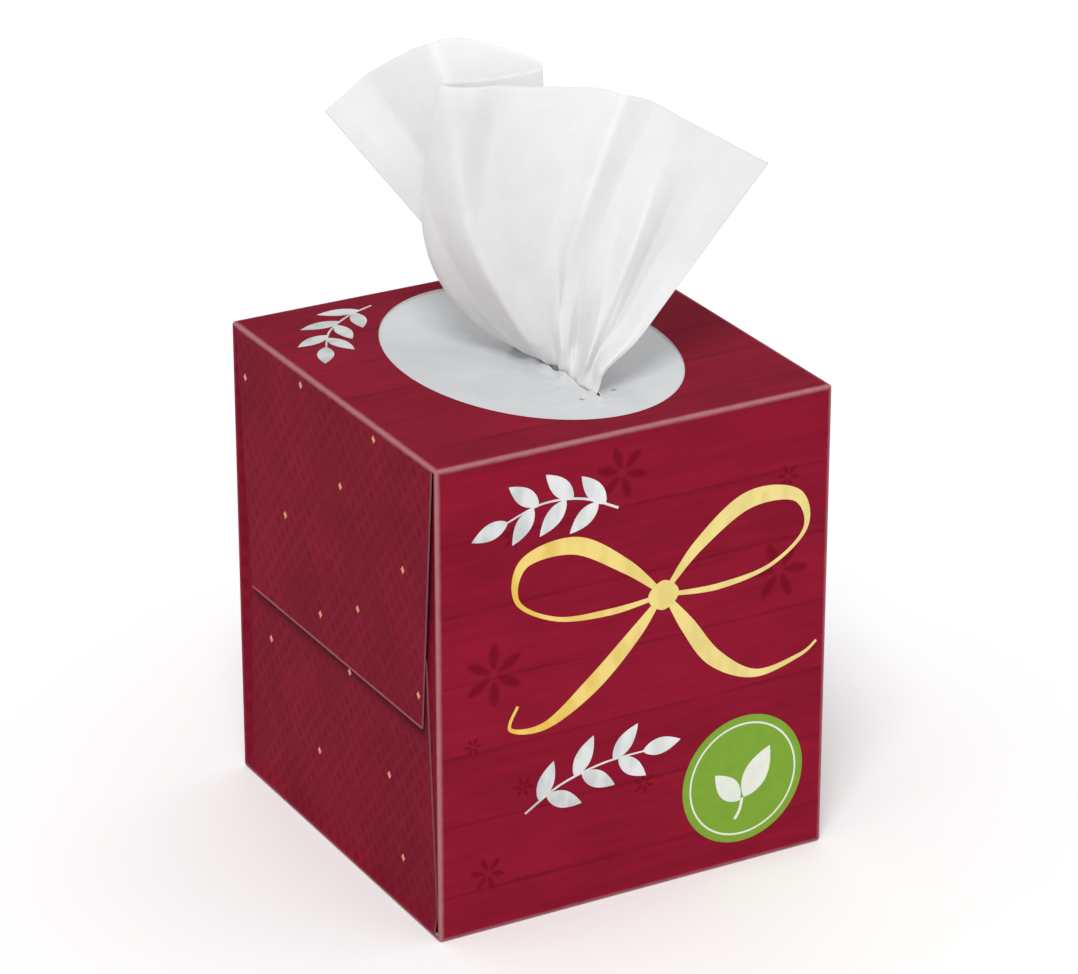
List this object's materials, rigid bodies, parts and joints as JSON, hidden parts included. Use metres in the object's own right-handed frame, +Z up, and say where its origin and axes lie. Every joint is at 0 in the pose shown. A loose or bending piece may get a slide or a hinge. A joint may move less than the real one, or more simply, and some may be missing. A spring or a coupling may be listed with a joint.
{
  "type": "tissue box",
  "caption": "Upright cube tissue carton of folded paperboard with glued end flaps and an oval film window, with a gathered tissue fanned up out of its slit",
  "frame": {"origin": "middle of the bottom panel's underside, which is also the bottom centre of the bounding box", "axes": "+Z up through the opening; the front panel faces -Y; the ends closed by flaps face -X and +X; the slit in the film runs along Y"},
  "size_m": [0.111, 0.111, 0.2029],
  "materials": {
    "printed_board": "dark red satin-varnished print on bleached board, pale where the folds have worn",
    "film": "thin milky polyethylene film, slightly wrinkled",
    "tissue_paper": "soft white two-ply tissue"
  },
  "bodies": {
    "root": {"carton": "printed_board", "window_film": "film", "tissue_stack": "tissue_paper", "drawn_tissue": "tissue_paper"}
  },
  "joints": []
}
